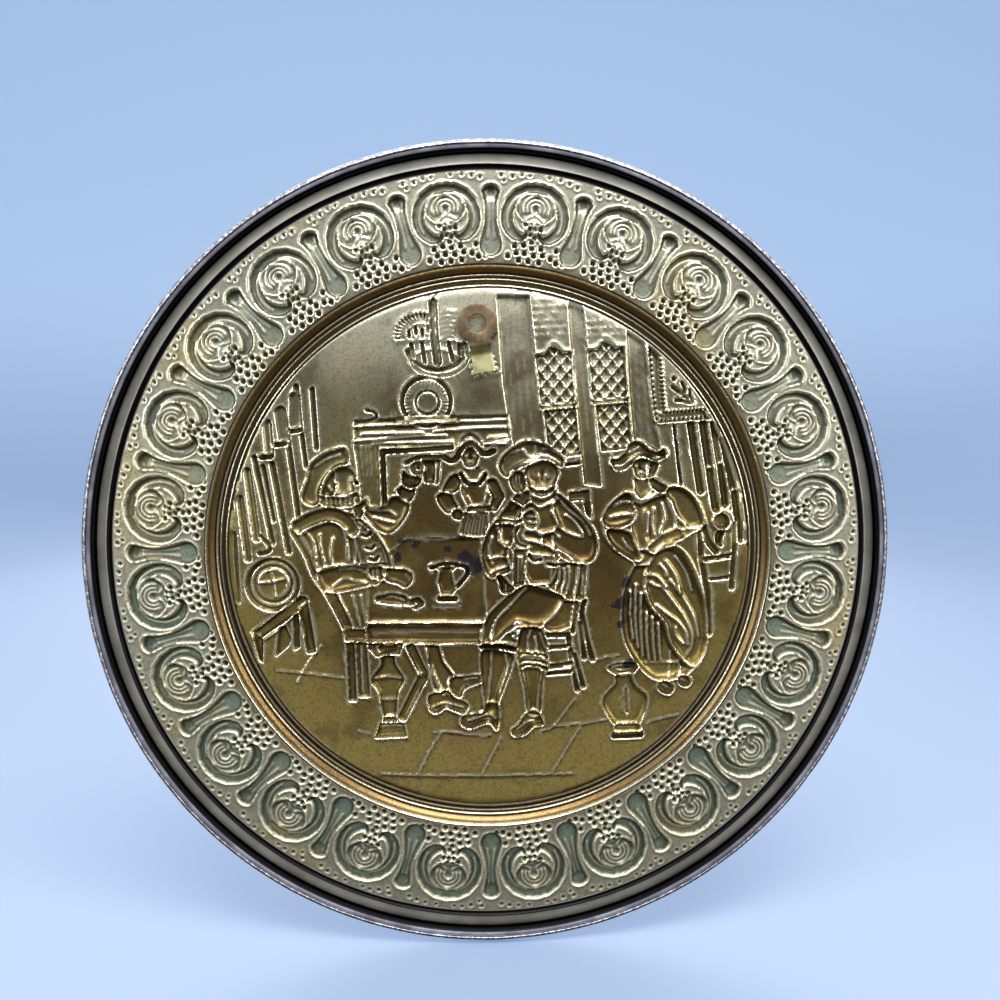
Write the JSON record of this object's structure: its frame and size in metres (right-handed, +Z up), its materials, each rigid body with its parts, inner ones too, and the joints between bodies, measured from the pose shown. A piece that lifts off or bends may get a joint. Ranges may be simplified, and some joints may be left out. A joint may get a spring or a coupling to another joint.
{
  "type": "relief plaque",
  "caption": "Round wall plaque of pressed sheet brass with a scrolled border, a tavern scene in relief, a wired rim and a pierced hanging tab.",
  "frame": {"origin": "the wall-side face of the hanging tab, on the web above its hanging hole", "axes": "+Z up, +Y out of the back towards the wall, the relief's show side faces -Y"},
  "size_m": [0.356, 0.0113, 0.356],
  "materials": {
    "sheet_brass": "tarnished, satin",
    "rim_steel": "dark, tarnished",
    "tab_brass": "dull, soldered"
  },
  "bodies": {
    "root": {"pressed_sheet": "sheet_brass", "rim_wire": "rim_steel", "hanging_tab": "tab_brass"}
  },
  "joints": []
}
